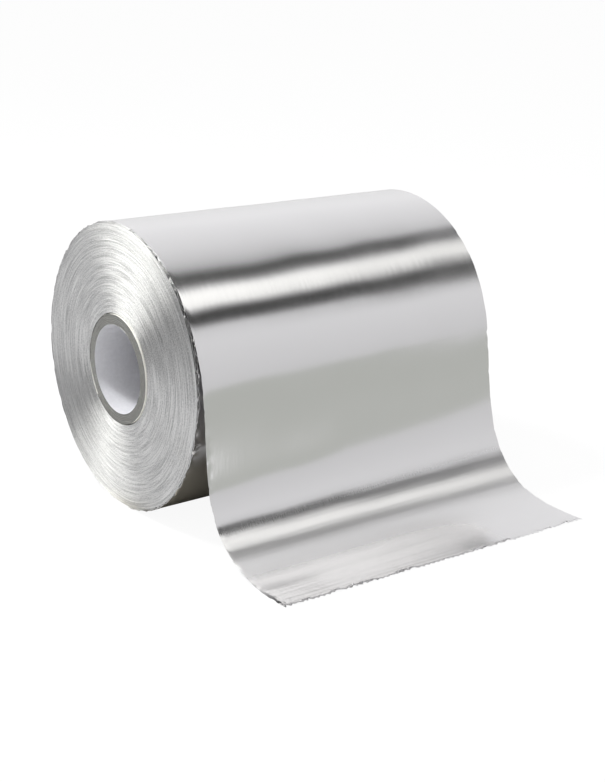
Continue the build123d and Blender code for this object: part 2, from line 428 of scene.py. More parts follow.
# A hair is added, so that rounding never puts a turn's first row into the turn before
which_turn = add(tree, "ShaderNodeMath", {0: which_turn, 1: 0.001}, operation="ADD").outputs[0]
whole_turn = add(tree, "ShaderNodeMath", {0: which_turn}, operation="FLOOR").outputs[0]
in_turn = add(tree, "ShaderNodeMath", {0: which_turn, 1: whole_turn}, operation="SUBTRACT").outputs[0]
turn_number = add(tree, "ShaderNodeMath", {0: whole_turn, 1: way_round}, operation="ADD").outputs[0]
# Neighbouring turns and the two ends read the noise far apart
number_part = add(tree, "ShaderNodeMath", {0: turn_number, 1: 3.7, 2: size["Seed"]},
                  operation="MULTIPLY_ADD").outputs[0]
number_part = add(tree, "ShaderNodeMath", {0: side, 1: 50.0, 2: number_part},
                  operation="MULTIPLY_ADD").outputs[0]
level_way = add(tree, "ShaderNodeMath", {0: level_part, 1: size["Changes"]}, operation="MULTIPLY").outputs[0]
upright_way = add(tree, "ShaderNodeMath", {0: upright_part, 1: size["Changes"]},
                  operation="MULTIPLY").outputs[0]
turn_place = add(tree, "ShaderNodeCombineXYZ", {0: number_part, 1: level_way, 2: upright_way}).outputs[0]
turn_noise = add(tree, "ShaderNodeTexNoise", {"Vector": turn_place, "Scale": 1.0, "Detail": 2.0}).outputs[0]
stand_back = add(tree, "ShaderNodeMapRange", {"Value": turn_noise, "From Min": 0.25, "From Max": 0.75,
                                              "To Max": size["Stand"]}).outputs[0]
# The first row of each turn is its groove
is_groove = add(tree, "ShaderNodeMath", {0: in_turn, 1: 0.05}, operation="LESS_THAN").outputs[0]
groove = add(tree, "ShaderNodeMath", {0: is_groove, 1: size["Groove"]}, operation="MULTIPLY").outputs[0]
sunk = add(tree, "ShaderNodeMath", {0: stand_back, 1: groove}, operation="ADD").outputs[0]
# The rims of the bore and of the outside stay true: nothing is sunk within the last hundredth of the way
from_bore = add(tree, "ShaderNodeMapRange", {"Value": share_out, "From Max": 0.01}).outputs[0]
from_rim = add(tree, "ShaderNodeMapRange", {"Value": share_out, "From Min": 1.0, "From Max": 0.99}).outputs[0]
inside = add(tree, "ShaderNodeMath", {0: from_bore, 1: from_rim}, operation="MULTIPLY").outputs[0]
sunk = add(tree, "ShaderNodeMath", {0: sunk, 1: inside}, operation="MULTIPLY").outputs[0]
reach = add(tree, "ShaderNodeMath", {0: size["Half Width"], 1: sunk}, operation="SUBTRACT").outputs[0]
x_place = add(tree, "ShaderNodeMath", {0: reach, 1: side}, operation="MULTIPLY").outputs[0]
y_place = add(tree, "ShaderNodeMath", {0: distance, 1: level_part}, operation="MULTIPLY").outputs[0]
z_place = add(tree, "ShaderNodeMath", {0: distance, 1: upright_part}, operation="MULTIPLY").outputs[0]
# The flat that the roll rests on
z_place = add(tree, "ShaderNodeMath", {0: z_place, 1: size["Rest Level"]}, operation="MAXIMUM").outputs[0]
where = add(tree, "ShaderNodeCombineXYZ", {0: x_place, 1: y_place, 2: z_place}).outputs[0]
print("with the places it has", len(tree.nodes), "nodes")

# %% [markdown]
# The last part bends the grid, merges its seams, and gives it a map, its finishes and its shading. The map
# is in metres: across the strip, and along it. Faces that look along the axis take the edge finish, and
# those at the bore's radius the bore's. Edges of more than 50 degrees stay sharp.

# %% Tree: the bent body and its finishes
strip_length = add(tree, "ShaderNodeMath", {0: turned, 1: distance}, operation="MULTIPLY").outputs[0]
strip_map = add(tree, "ShaderNodeCombineXYZ", {0: x_place, 1: strip_length}).outputs[0]
body = add(tree, "GeometryNodeStoreNamedAttribute", {"Geometry": grid, "Name": "UVMap", "Value": strip_map},
           data_type="FLOAT2", domain="CORNER").outputs[0]
body = add(tree, "GeometryNodeSetPosition", {"Geometry": body, "Position": where}).outputs[0]
body = add(tree, "GeometryNodeMergeByDistance", {"Geometry": body, "Distance": 0.002 * MM}).outputs[0]
facing = add(tree, "ShaderNodeSeparateXYZ", {0: add(tree, "GeometryNodeInputNormal").outputs[0]}).outputs
endwise = add(tree, "ShaderNodeMath", {0: facing[0]}, operation="ABSOLUTE").outputs[0]
on_end = add(tree, "FunctionNodeCompare", {0: endwise, 1: 0.3}, data_type="FLOAT",
             operation="GREATER_THAN").outputs[0]
centre_way = add(tree, "ShaderNodeVectorMath", {
    0: add(tree, "GeometryNodeInputPosition").outputs[0], 1: (0, 1, 1)}, operation="MULTIPLY").outputs[0]
how_far = add(tree, "ShaderNodeVectorMath", {0: centre_way}, operation="LENGTH").outputs["Value"]
bore_limit = add(tree, "ShaderNodeMath", {0: size["Inner Radius"], 1: 1.01}, operation="MULTIPLY").outputs[0]
on_bore = add(tree, "FunctionNodeCompare", {0: how_far, 1: bore_limit}, data_type="FLOAT",
              operation="LESS_THAN").outputs[0]
fold = add(tree, "GeometryNodeInputMeshEdgeAngle").outputs[0]
is_sharp = add(tree, "FunctionNodeCompare", {0: fold, 1: radians(50)}, data_type="FLOAT",
               operation="GREATER_THAN").outputs[0]
body = add(tree, "GeometryNodeSetShadeSmooth", {"Geometry": body, "Shade Smooth": True}).outputs[0]
body = add(tree, "GeometryNodeSetShadeSmooth",
           {"Geometry": body, "Selection": is_sharp, "Shade Smooth": False}, domain="EDGE").outputs[0]
body = add(tree, "GeometryNodeRealizeInstances", {"Geometry": body}).outputs[0]
body = add(tree, "GeometryNodeSetMaterial", {"Geometry": body, "Material": size["Side Finish"]}).outputs[0]
for chosen, finish in ((on_bore, size["Bore Finish"]), (on_end, size["End Finish"])):
    body = add(tree, "GeometryNodeSetMaterial",
               {"Geometry": body, "Selection": chosen, "Material": finish}).outputs[0]
tree.links.new(body, finished.inputs[0])
wound_tree = tree
print("wind_turns has", len(wound_tree.nodes), "nodes")

# %% [markdown]
# The package of foil stops 0.3 mm short of the roll's radius, because the last turn is a piece of its own,
# and starts 0.4 mm out from the core, which leaves the thin dark line round the tube. Sixty drawn turns
# stand for thousands, one for each 0.47 mm, about what the eye makes out. Where the last turns are loose,
# the near end bulges by 2 mm and the far end hardly at all.

# %% Piece: the wound turns
wound_radius = roll_radius - 0.3 * MM
near_bulge, far_bulge = 1.95 * MM, 0.15 * MM
wound_turns = grow("wound_turns", wound_tree, {
    "Half Width": half_width, "Inner Radius": core_radius + 0.4 * MM, "Outer Radius": wound_radius,
    "Turns": 60, "Rows": 3, "Around": 200, "Stand": 0.06 * MM, "Groove": 0.05 * MM, "Changes": 1.2,
    "Near Bulge": near_bulge, "Far Bulge": far_bulge, "Rest Level": rest_level, "Seed": 3.0,
    "Side Finish": bright_foil, "End Finish": foil_edges, "Bore Finish": bright_foil})

# %% [markdown]
# ## The paper core
#
# The same tree winds the tube: six plies of board between the bore and the foil, each cut a hair higher or
# lower than the next. It stands half a millimetre proud of the foil at each end. It has no bulge, and a
# rest level far below it leaves it round.

# %% Piece: the paper core
paper_core = grow("paper_core", wound_tree, {
    "Half Width": half_width + 0.5 * MM, "Inner Radius": bore_radius, "Outer Radius": core_radius,
    "Turns": 6, "Rows": 4, "Around": 120, "Stand": 0.25 * MM, "Groove": 0.08 * MM, "Changes": 2.5,
    "Near Bulge": 0.0, "Far Bulge": 0.0, "Rest Level": -1.0, "Seed": 11.0,
    "Side Finish": wrap, "End Finish": board, "Bore Finish": liner})

# %% [markdown]
# ## The last turn and the tail
#
# The last turn has sprung loose. It still hugs the roll under and behind it, leaves it near the top, hangs
# down in front and curls out onto the surface. Seen from the end, that is one line, and its shape is given
# best by the way the sheet faces at each place along it, because that is also what decides what it mirrors.
# The near edge has come further away from the roll than the far one, so there are two such lines, and the
# sheet is stretched between them.
#
# The facing is given at a few places, its knots, and read off a smooth curve through them.

# %% Helper: a smooth curve through knots


def eased(knots, share):
    """A smooth curve through (share, value) knots, read at one share."""
    last = len(knots) - 1
    spot = max(i for i in range(last) if knots[i][0] <= share + 1e-9)
    slopes = []
    for i in (spot, spot + 1):
        before, after = knots[max(i - 1, 0)], knots[min(i + 1, last)]
        slopes.append((after[1] - before[1]) / (after[0] - before[0]))
    (start, low), (end, high) = knots[spot], knots[spot + 1]
    span = end - start
    t = (share - start) / span
    return (low * (1 + 2 * t) * (1 - t) ** 2 + slopes[0] * span * t * (1 - t) ** 2
            + high * t * t * (3 - 2 * t) - slopes[1] * span * t * t * (1 - t))


quarter_way = eased([(0, 6), (0.5, 20), (1, 88.5)], 0.25)
print("a quarter of the way down such a curve the sheet faces", round(quarter_way, 1), "degrees up")

# %% [markdown]
# `edge_line` walks down the sheet: a tight part on the roll's own circle, a loose part on a larger circle
# that touches it where the turn lifts off, a hanging part, and a lying part that curls up by a few degrees
# towards the cut. Places round the roll are angles up from its front and over its top. A facing is in degrees
# up from the level, so 90 looks straight up.

# %% Side view of the last turn
# It starts under the roll, and its hanging part ends a hair above where it lies
start_angle = 265
bend_clearance = 0.05 * MM
cut_facing = 94
# The fine steps are those in which the hanging part's facing is added up
round_steps, hanging_steps, lying_steps, fine_steps = 100, 70, 12, 600


def edge_line(slack, lift_off, facings, cut_reach):
    """One edge of the last turn, from under the roll to the cut, as (y, z) points of its outer face."""
    line = []
    first_facing = facings[0][1]
    # Both edges step through the same angles, so that the sheet between them follows the roll
    for step in range(round_steps + 1):
        angle = start_angle + (first_facing - start_angle) * step / round_steps
        off = slack if angle < lift_off else 0
        centre_y, centre_z = off * cos(radians(lift_off)), -off * sin(radians(lift_off))
        radius = roll_radius + off
        line.append((centre_y - radius * cos(radians(angle)), centre_z + radius * sin(radians(angle))))
    # The hanging part turns from facing to facing, and is as long as it has to be to come down
    drop = line[-1][1] - (rest_level + foil_thickness) - bend_clearance
    facing_at = [radians(eased(facings, (i + 0.5) / fine_steps)) for i in range(fine_steps)]
    length = drop / (sum(cos(a) for a in facing_at) / fine_steps)
    y, z = line[-1]
    for i, angle in enumerate(facing_at):
        y, z = y - length / fine_steps * sin(angle), z - length / fine_steps * cos(angle)
        if (i + 1) * hanging_steps % fine_steps < hanging_steps:
            line.append((y, z))
    reach = -cut_reach - y
    start_tilt, end_tilt = radians(facings[-1][1] - 90), radians(cut_facing - 90)
    for step in range(1, lying_steps + 1):
        share = step / lying_steps
        rise = -reach * (start_tilt * share + (end_tilt - start_tilt) * share ** 2 / 2)
        line.append((y + reach * share, z + rise))
    return line


near_slack, near_lift = 2.5 * MM, 160
far_slack, far_lift = 0.25 * MM, 125
near_facings = [(0, 6), (0.2, 5), (0.36, 7.5), (0.46, 17), (0.61, 43), (0.8, 69), (1, 88.5)]
far_facings = [(0, 10), (0.2, 7.5), (0.36, 12.5), (0.52, 27), (0.68, 50), (0.84, 76), (1, 88.5)]
near_line = edge_line(near_slack, near_lift, near_facings, 96.6 * MM)
far_line = edge_line(far_slack, far_lift, far_facings, 98.8 * MM)
print(len(near_line), "places along the strip; near end", [round(v / MM, 2) for v in near_line[-1]])

# %% [markdown]
# A second tree stretches the sheet between the two lines. Its first part lays a grid and takes each of its
# rows from two points, one on each line. "Crowding" draws the columns towards the near edge.

# %% Tree: a sheet between two edge lines
sheet_sizes = {"Rows": 190, "Columns": 181, "Crowding": 1.0, "Teeth": 60, "Tooth Depth": 0.001,
               "Handled From": 130.0, "Edge Ruffle": 0.0002, "Edge Wander": 0.0002, "Ruffle Scale": 260.0,
               "Edge Curl": 0.0, "Cut Curl": 0.0, "Buckle": 0.00002, "Thickness": 0.0001, "Seed": 1.0,
               "Outer Finish": bright_foil, "Inner Finish": matt_foil, "Edge Finish": foil_edges}
tree, size, finished = start_tree("stretch_sheet", sheet_sizes)
grid = add(tree, "GeometryNodeMeshGrid", {"Size X": 1.0, "Size Y": 1.0, "Vertices X": size["Columns"],
                                          "Vertices Y": size["Rows"]}).outputs[0]
spot = add(tree, "ShaderNodeSeparateXYZ", {0: add(tree, "GeometryNodeInputPosition").outputs[0]}).outputs
share_across = add(tree, "ShaderNodeMath", {0: spot[0], 1: 0.5}, operation="ADD").outputs[0]
share_across = add(tree, "ShaderNodeMath", {0: share_across, 1: size["Crowding"]},
                   operation="POWER").outputs[0]
share_along = add(tree, "ShaderNodeMath", {0: spot[1], 1: 0.5}, operation="ADD").outputs[0]
last_place = add(tree, "ShaderNodeMath", {0: size["Rows"], 1: 1.0}, operation="SUBTRACT").outputs[0]
place_along = add(tree, "ShaderNodeMath", {0: share_along, 1: last_place}, operation="MULTIPLY").outputs[0]
row = add(tree, "ShaderNodeMath", {0: place_along}, operation="ROUND").outputs[0]
line_points = add(tree, "GeometryNodeInputPosition").outputs[0]
near_point = add(tree, "GeometryNodeSampleIndex", {"Geometry": size["Geometry"], "Value": line_points,
                                                   "Index": row}, data_type="FLOAT_VECTOR").outputs[0]
far_index = add(tree, "ShaderNodeMath", {0: row, 1: size["Rows"]}, operation="ADD").outputs[0]
far_point = add(tree, "GeometryNodeSampleIndex", {"Geometry": size["Geometry"], "Value": line_points,
                                                  "Index": far_index}, data_type="FLOAT_VECTOR").outputs[0]
sheet_point = add(tree, "ShaderNodeMix", {0: share_across, 4: near_point, 5: far_point},
                  data_type="VECTOR").outputs[1]
print("the grid takes", len(tree.nodes), "nodes")

# %% [markdown]
# The second part cuts the end. The grid's last two rows are slid back by a saw-tooth with a tooth each 2 mm,
# and noise makes some teeth longer than others, as a hasty tear does.

# %% Tree: the toothed cut
tooth_place = add(tree, "ShaderNodeMath", {0: share_across, 1: size["Teeth"]},
                  operation="MULTIPLY").outputs[0]
tooth = add(tree, "ShaderNodeMath", {0: tooth_place, 1: 0.5}, operation="PINGPONG").outputs[0]
tooth = add(tree, "ShaderNodeMath", {0: tooth, 1: 2.0}, operation="MULTIPLY").outputs[0]
tear_place = add(tree, "ShaderNodeCombineXYZ", {0: share_across, 1: size["Seed"]}).outputs[0]
tear = add(tree, "ShaderNodeTexNoise", {"Vector": tear_place, "Scale": 34.0, "Detail": 3.0}).outputs[0]
cut_back = add(tree, "ShaderNodeMath", {0: tooth, 1: tear}, operation="ADD").outputs[0]
cut_back = add(tree, "ShaderNodeMath", {0: cut_back, 1: size["Tooth Depth"]}, operation="MULTIPLY").outputs[0]
from_cut = add(tree, "ShaderNodeMath", {0: last_place, 1: row}, operation="SUBTRACT").outputs[0]
at_cut = add(tree, "ShaderNodeMapRange", {"Value": from_cut, "From Min": 2.0, "From Max": 0.0}).outputs[0]
cut_back = add(tree, "ShaderNodeMath", {0: cut_back, 1: at_cut}, operation="MULTIPLY").outputs[0]
cut_shift = add(tree, "ShaderNodeCombineXYZ", {0: 0.0, 1: cut_back}).outputs[0]
sheet_point = add(tree, "ShaderNodeVectorMath", {0: sheet_point, 1: cut_shift}, operation="ADD").outputs[0]
print("with the cut it has", len(tree.nodes), "nodes")

# %% [markdown]
# The third part writes on the sheet, while it is still a flat grid, what its finish and its edges read
# later: the strip's map in metres, where the tail was handled, how far across a point is and how near the
# cut. Once the grid is bent, its points no longer say so.

# %% Tree: what is written on the sheet
# The strip is 120 mm wide, and its rows are 1.3 mm apart
strip_map = add(tree, "ShaderNodeCombineXYZ", {0: share_across, 1: place_along}).outputs[0]
strip_map = add(tree, "ShaderNodeVectorMath", {0: strip_map, 1: (0.12, 0.0013, 0)},
                operation="MULTIPLY").outputs[0]
sheet = add(tree, "GeometryNodeStoreNamedAttribute", {"Geometry": grid, "Name": "UVMap", "Value": strip_map},
            data_type="FLOAT2", domain="CORNER").outputs[0]
# The tail from the bend on was handled, its far side more than its near one. Past the bend its near half
# was hardly touched and is smoother than all the rest, so 1.35 is taken off there, which ends near -0.6
handled_row = add(tree, "ShaderNodeMath", {0: row, 1: size["Handled From"]}, operation="SUBTRACT").outputs[0]
bend_share = add(tree, "ShaderNodeMapRange", {"Value": handled_row, "From Min": 0.0, "From Max": 14.0},
                 interpolation_type="SMOOTHSTEP").outputs[0]
far_share = add(tree, "ShaderNodeMapRange", {"Value": share_across, "To Min": 0.7, "To Max": 1.0}).outputs[0]
handled = add(tree, "ShaderNodeMath", {0: bend_share, 1: far_share}, operation="MULTIPLY").outputs[0]
lying = add(tree, "ShaderNodeMapRange", {"Value": handled_row, "From Min": 27.0, "From Max": 35.0}).outputs[0]
near_half = add(tree, "ShaderNodeMapRange",
                {"Value": share_across, "From Min": 0.8, "From Max": 0.5}).outputs[0]
kept_smooth = add(tree, "ShaderNodeMath", {0: lying, 1: near_half}, operation="MULTIPLY").outputs[0]
kept_smooth = add(tree, "ShaderNodeMath", {0: kept_smooth, 1: 1.35}, operation="MULTIPLY").outputs[0]
handled = add(tree, "ShaderNodeMath", {0: handled, 1: kept_smooth}, operation="SUBTRACT").outputs[0]
for label, value in (("handled", handled), ("across", share_across), ("at_cut", at_cut)):
    sheet = add(tree, "GeometryNodeStoreNamedAttribute", {"Geometry": sheet, "Name": label, "Value": value},
                data_type="FLOAT", domain="POINT").outputs[0]
across = add(tree, "GeometryNodeInputNamedAttribute", {"Name": "across"}, data_type="FLOAT").outputs[0]
by_cut = add(tree, "GeometryNodeInputNamedAttribute", {"Name": "at_cut"}, data_type="FLOAT").outputs[0]
print("with its attributes it has", len(tree.nodes), "nodes")

# %% [markdown]
# The fourth part bends the grid and moves its points along the way that the surface faces: slit edges
# ruffle, most of all the near one, the whole sheet buckles a little, the near edge curls in and a few teeth
# of the cut curl up.

# %% Tree: ruffles, buckles and curls
# How near a point is to a slit edge: 1 at the edge, and 0 from 2.4 mm in at the near one, 1.8 mm at the far
to_near = add(tree, "ShaderNodeMapRange", {"Value": across, "From Min": 0.02, "From Max": 0.0},
              interpolation_type="SMOOTHSTEP").outputs[0]
to_far = add(tree, "ShaderNodeMapRange", {"Value": across, "From Min": 0.985, "From Max": 1.0},
             interpolation_type="SMOOTHSTEP").outputs[0]
at_edge = add(tree, "ShaderNodeMath", {0: to_far, 1: 0.3, 2: to_near}, operation="MULTIPLY_ADD").outputs[0]
sheet = add(tree, "GeometryNodeSetPosition", {"Geometry": sheet, "Position": sheet_point}).outputs[0]
# The grid's own faces look towards the roll, so they are turned to look outwards
sheet = add(tree, "GeometryNodeFlipFaces", {"Mesh": sheet}).outputs[0]
here = add(tree, "GeometryNodeInputPosition").outputs[0]
seed_shift = add(tree, "ShaderNodeCombineXYZ", {0: size["Seed"]}).outputs[0]
noise_place = add(tree, "ShaderNodeVectorMath", {0: here, 1: seed_shift}, operation="ADD").outputs[0]
ruffle = add(tree, "ShaderNodeTexNoise",
             {"Vector": noise_place, "Scale": size["Ruffle Scale"], "Detail": 2.0}).outputs[0]
ruffle = add(tree, "ShaderNodeMath", {0: ruffle, 1: 0.5}, operation="SUBTRACT").outputs[0]
ruffle = add(tree, "ShaderNodeMath", {0: ruffle, 1: at_edge}, operation="MULTIPLY").outputs[0]
ruffle = add(tree, "ShaderNodeMath", {0: ruffle, 1: size["Edge Ruffle"]}, operation="MULTIPLY").outputs[0]
buckle = add(tree, "ShaderNodeTexNoise", {"Vector": here, "Scale": 45.0, "Detail": 0.0}).outputs[0]
buckle = add(tree, "ShaderNodeMath", {0: buckle, 1: 0.5}, operation="SUBTRACT").outputs[0]
lift = add(tree, "ShaderNodeMath", {0: buckle, 1: size["Buckle"], 2: ruffle},
           operation="MULTIPLY_ADD").outputs[0]
# The last 0.8 mm of the near edge is curled in towards the roll, more in some places than in others
curl_noise = add(tree, "ShaderNodeTexNoise",
                 {"Vector": noise_place, "Scale": 150.0, "Detail": 2.0}).outputs[0]
curl_share = add(tree, "ShaderNodeMapRange",
                 {"Value": curl_noise, "From Min": 0.4, "From Max": 0.6}).outputs[0]
curl_near = add(tree, "ShaderNodeMapRange", {"Value": across, "From Min": 0.007, "From Max": 0.0}).outputs[0]
curl = add(tree, "ShaderNodeMath", {0: curl_share, 1: curl_near}, operation="MULTIPLY").outputs[0]
curl = add(tree, "ShaderNodeMath", {0: curl, 1: size["Edge Curl"]}, operation="MULTIPLY").outputs[0]
lift = add(tree, "ShaderNodeMath", {0: lift, 1: curl}, operation="SUBTRACT").outputs[0]
# Here and there the cut's teeth are curled up
tip_noise = add(tree, "ShaderNodeTexNoise", {"Vector": noise_place, "Scale": 420.0, "Detail": 1.0}).outputs[0]
tip = add(tree, "ShaderNodeMapRange", {"Value": tip_noise, "From Min": 0.52, "From Max": 0.68}).outputs[0]
tip = add(tree, "ShaderNodeMath", {0: tip, 1: by_cut}, operation="MULTIPLY").outputs[0]
lift = add(tree, "ShaderNodeMath", {0: tip, 1: size["Cut Curl"], 2: lift},
           operation="MULTIPLY_ADD").outputs[0]
surface_way = add(tree, "GeometryNodeInputNormal").outputs[0]
lifted = add(tree, "ShaderNodeVectorMath", {0: surface_way, "Scale": lift}, operation="SCALE").outputs[0]
print("with its ruffles it has", len(tree.nodes), "nodes")

# %% [markdown]
# The last part lets the slit edges wander in and out, mostly hardly at all and here and there by a whole
# nick. Then it gives the sheet its thickness: the sheet is extruded inwards, and the extruded sheet and its
# walls are joined to the first one. The outer, the inner and the slit faces take a finish each.

# %% Tree: wandering edges, thickness and finishes
wander_place = add(tree, "ShaderNodeVectorMath", {0: noise_place, 1: (0, 1, 1)},
                   operation="MULTIPLY").outputs[0]
wander_scale = add(tree, "ShaderNodeMath", {0: size["Ruffle Scale"], 1: 0.73},
                   operation="MULTIPLY").outputs[0]
wander = add(tree, "ShaderNodeTexNoise",
             {"Vector": wander_place, "Scale": wander_scale, "Detail": 3.0}).outputs[0]
wander = add(tree, "ShaderNodeMapRange", {"Value": wander, "From Min": 0.5, "From Max": 0.75,
                                          "To Min": -0.15}, interpolation_type="SMOOTHSTEP").outputs[0]
wander = add(tree, "ShaderNodeMath", {0: wander, 1: size["Edge Wander"]}, operation="MULTIPLY").outputs[0]
near_wander = add(tree, "ShaderNodeMath", {0: wander, 1: to_near}, operation="MULTIPLY").outputs[0]
far_wander = add(tree, "ShaderNodeMath", {0: wander, 1: to_far}, operation="MULTIPLY").outputs[0]
wander = add(tree, "ShaderNodeMath", {0: near_wander, 1: far_wander}, operation="SUBTRACT").outputs[0]
wander = add(tree, "ShaderNodeCombineXYZ", {0: wander}).outputs[0]
lifted = add(tree, "ShaderNodeVectorMath", {0: lifted, 1: wander}, operation="ADD").outputs[0]
sheet = add(tree, "GeometryNodeSetPosition", {"Geometry": sheet, "Offset": lifted}).outputs[0]
inner_sheet = add(tree, "GeometryNodeFlipFaces", {"Mesh": sheet}).outputs[0]
extruded, is_inner, is_wall = add(tree, "GeometryNodeExtrudeMesh", {
    "Mesh": inner_sheet, "Offset Scale": size["Thickness"], "Individual": False}).outputs
whole = add(tree, "GeometryNodeJoinGeometry")
tree.links.new(extruded, whole.inputs[0])
tree.links.new(sheet, whole.inputs[0])
sheet = add(tree, "GeometryNodeMergeByDistance",
            {"Geometry": whole.outputs[0], "Distance": 0.001 * MM}).outputs[0]
fold = add(tree, "GeometryNodeInputMeshEdgeAngle").outputs[0]
is_sharp = add(tree, "FunctionNodeCompare", {0: fold, 1: radians(50)}, data_type="FLOAT",
               operation="GREATER_THAN").outputs[0]
sheet = add(tree, "GeometryNodeSetShadeSmooth", {"Geometry": sheet, "Shade Smooth": True}).outputs[0]
sheet = add(tree, "GeometryNodeSetShadeSmooth",
            {"Geometry": sheet, "Selection": is_sharp, "Shade Smooth": False}, domain="EDGE").outputs[0]
sheet = add(tree, "GeometryNodeRealizeInstances", {"Geometry": sheet}).outputs[0]
sheet = add(tree, "GeometryNodeSetMaterial", {"Geometry": sheet, "Material": size["Outer Finish"]}).outputs[0]
for chosen, finish in ((is_inner, size["Inner Finish"]), (is_wall, size["Edge Finish"])):
    sheet = add(tree, "GeometryNodeSetMaterial",
                {"Geometry": sheet, "Selection": chosen, "Material": finish}).outputs[0]
tree.links.new(sheet, finished.inputs[0])
sheet_tree = tree
print("stretch_sheet has", len(sheet_tree.nodes), "nodes")

# %% [markdown]
# The last turn takes its rows from the two lines. Its rows from the 132nd on are the bend and what lies in
# front of it, which fingers have handled.

# %% Piece: the last turn and the tail
edge_points = [(-half_width, y, z) for y, z in near_line] + [(half_width, y, z) for y, z in far_line]
last_turn = grow("last_turn_and_tail", sheet_tree, {
    "Rows": len(near_line), "Columns": 181, "Crowding": 1.15, "Teeth": 60, "Tooth Depth": 0.9 * MM,
    "Handled From": 132.0, "Edge Ruffle": 0.5 * MM, "Edge Wander": 0.5 * MM, "Ruffle Scale": 300.0,
    "Edge Curl": 0.22 * MM, "Cut Curl": 0.9 * MM, "Buckle": 0.32 * MM, "Thickness": foil_thickness,
    "Seed": 5.0, "Outer Finish": bright_foil, "Inner Finish": matt_foil, "Edge Finish": foil_edges},
    edge_points)

# %% [markdown]
# Two more turns have come loose with the last one, each by a part of its slack. They lie under it, and all
# that shows of them is their crinkled near edges, which fill the gap at the rim, and the outermost one's
# face behind the hanging sheet. The same tree stretches them, with its columns crowded towards the near
# edge, where the crinkles are.

# %% Pieces: the loose turns under the last one
# They stay clear of the last turn, and of the level that the roll rests on
turn_clearance = 0.07 * MM
foot_clearance = 0.08 * MM


def smooth_step(value, start, whole):
    """0 up to start, 1 from whole on, and a smooth way from one to the other."""
    t = min(max((value - start) / (whole - start), 0), 1)
    return t * t * (3 - 2 * t)


def turn_line(from_wound, share, slack, lift_off, bulge):
    """One edge of a loose turn, from the lift-off down the front and under the roll, as (y, z) points."""
    line = []
    steps, foot_angle = 340, -84
    for step in range(steps + 1):
        angle = near_lift + (foot_angle - near_lift) * step / steps
        wound = wound_radius + bulge * smooth_step(angle, *fade_above) * smooth_step(angle, *fade_below)
        last = roll_radius - foil_thickness + slack * (1 - cos(radians(max(lift_off - max(angle, 0), 0))))
        room = max(last - wound - turn_clearance, 0)
        # It rests on the wound turns at the foot of the roll, and higher up takes its share of the room
        spread = share * room * smooth_step(angle, -14, 24)
        reach = wound + min(max(from_wound, spread), room)
        height = max(reach * sin(radians(angle)), rest_level + foot_clearance)
        line.append((-reach * cos(radians(angle)), height))
    return line


# How far the near edge of each stands off the wound turns at least, and its share of the room higher up
loose_turns = []
for number, (from_wound, share) in enumerate(((0.5 * MM, 0.34), (0.25 * MM, 0.72)), 1):
    near_turn = turn_line(from_wound, share, near_slack, near_lift, near_bulge)
    far_turn = turn_line(0.1 * MM, share, far_slack, far_lift, far_bulge)
    turn_points = [(-half_width, y, z) for y, z in near_turn] + [(half_width, y, z) for y, z in far_turn]
    # No row of it was handled and it has no cut, so it has no teeth either
    loose_turns.append(grow("loose_turn_%d" % number, sheet_tree, {
        "Rows": len(near_turn), "Columns": 26, "Crowding": 2.6, "Teeth": 0, "Tooth Depth": 0.0,
        "Handled From": 9999.0, "Edge Ruffle": 1.7 * MM, "Edge Wander": 0.8 * MM, "Ruffle Scale": 560.0,
        "Edge Curl": 0.0, "Cut Curl": 0.0, "Buckle": 0.0, "Thickness": 0.2 * MM, "Seed": 20.0 + number,
        "Outer Finish": bright_foil, "Inner Finish": matt_foil, "Edge Finish": foil_edges}, turn_points))

# %% [markdown]
# ## The studio
#
# The roll stands on a white surface in a tent of white cloth lit from outside. Nearly all of this studio is
# there for the foil to mirror. A wall or card that is only mirrored lights nothing matt and throws no
# shadow, and the camera looks through it.

# %% Helpers for the studio


def studio_mesh(name, points, faces, finish, only_mirrored=True):
    """A plain mesh of the studio, as an object with one finish."""
    mesh = bpy.data.meshes.new(name)
    mesh.from_pydata(points, [], faces)
    mesh.materials.append(finish)
    screen = bpy.data.objects.new(name, mesh)
    bpy.context.scene.collection.objects.link(screen)
    if only_mirrored:
        screen.visible_camera = False
        screen.visible_diffuse = False
        screen.visible_shadow = False
    print(name, "of", len(faces), "faces")
    return screen


def level_corners(low_x, high_x, low_y, high_y, level):
    """The corners of a level rectangle, in order round it."""
    return [(low_x, low_y, level), (high_x, low_y, level), (high_x, high_y, level), (low_x, high_y, level)]


# %% [markdown]
# The floor is matt white and keeps the roll's shadow. The camera's own rays see it brighter, near plain
# white, and so do mirrored rays that meet it 100 mm off or further. Closer by, mirrored rays see it painted a
# warm grey, a painted shade at the roll's foot, which the foil mirrors.

# %% The floor
floor_finish, tree = start_finish("white_floor")
ray = add(tree, "ShaderNodeLightPath").outputs
spot = add(tree, "ShaderNodeTexCoord").outputs["Object"]
# The painted shade reaches further along the roll than across it
flat_spot = add(tree, "ShaderNodeVectorMath", {0: spot, 1: (0.7, 1, 0)}, operation="MULTIPLY").outputs[0]
from_roll = add(tree, "ShaderNodeVectorMath", {0: flat_spot}, operation="LENGTH").outputs["Value"]
clear = add(tree, "ShaderNodeMapRange", {"Value": from_roll, "From Min": 0.055, "From Max": 0.1},
            interpolation_type="SMOOTHSTEP").outputs[0]
mirrored = add(tree, "ShaderNodeMath", {0: ray["Is Glossy Ray"], 1: clear}, operation="MULTIPLY").outputs[0]
seen = add(tree, "ShaderNodeMath", {0: ray["Is Camera Ray"], 1: mirrored}, operation="MAXIMUM").outputs[0]
seen = add(tree, "ShaderNodeMath", {0: seen, 1: ray["Is Transmission Ray"]}, operation="MAXIMUM").outputs[0]
share = add(tree, "ShaderNodeMath", {0: seen, 1: 0.93}, operation="MULTIPLY").outputs[0]
# Mirrored rays close to the roll see the floor painted warm grey: a painted shade at the roll's foot
painted_shade_share = add(tree, "ShaderNodeMath", {0: ray["Is Glossy Ray"], 1: mirrored},
               operation="SUBTRACT").outputs[0]
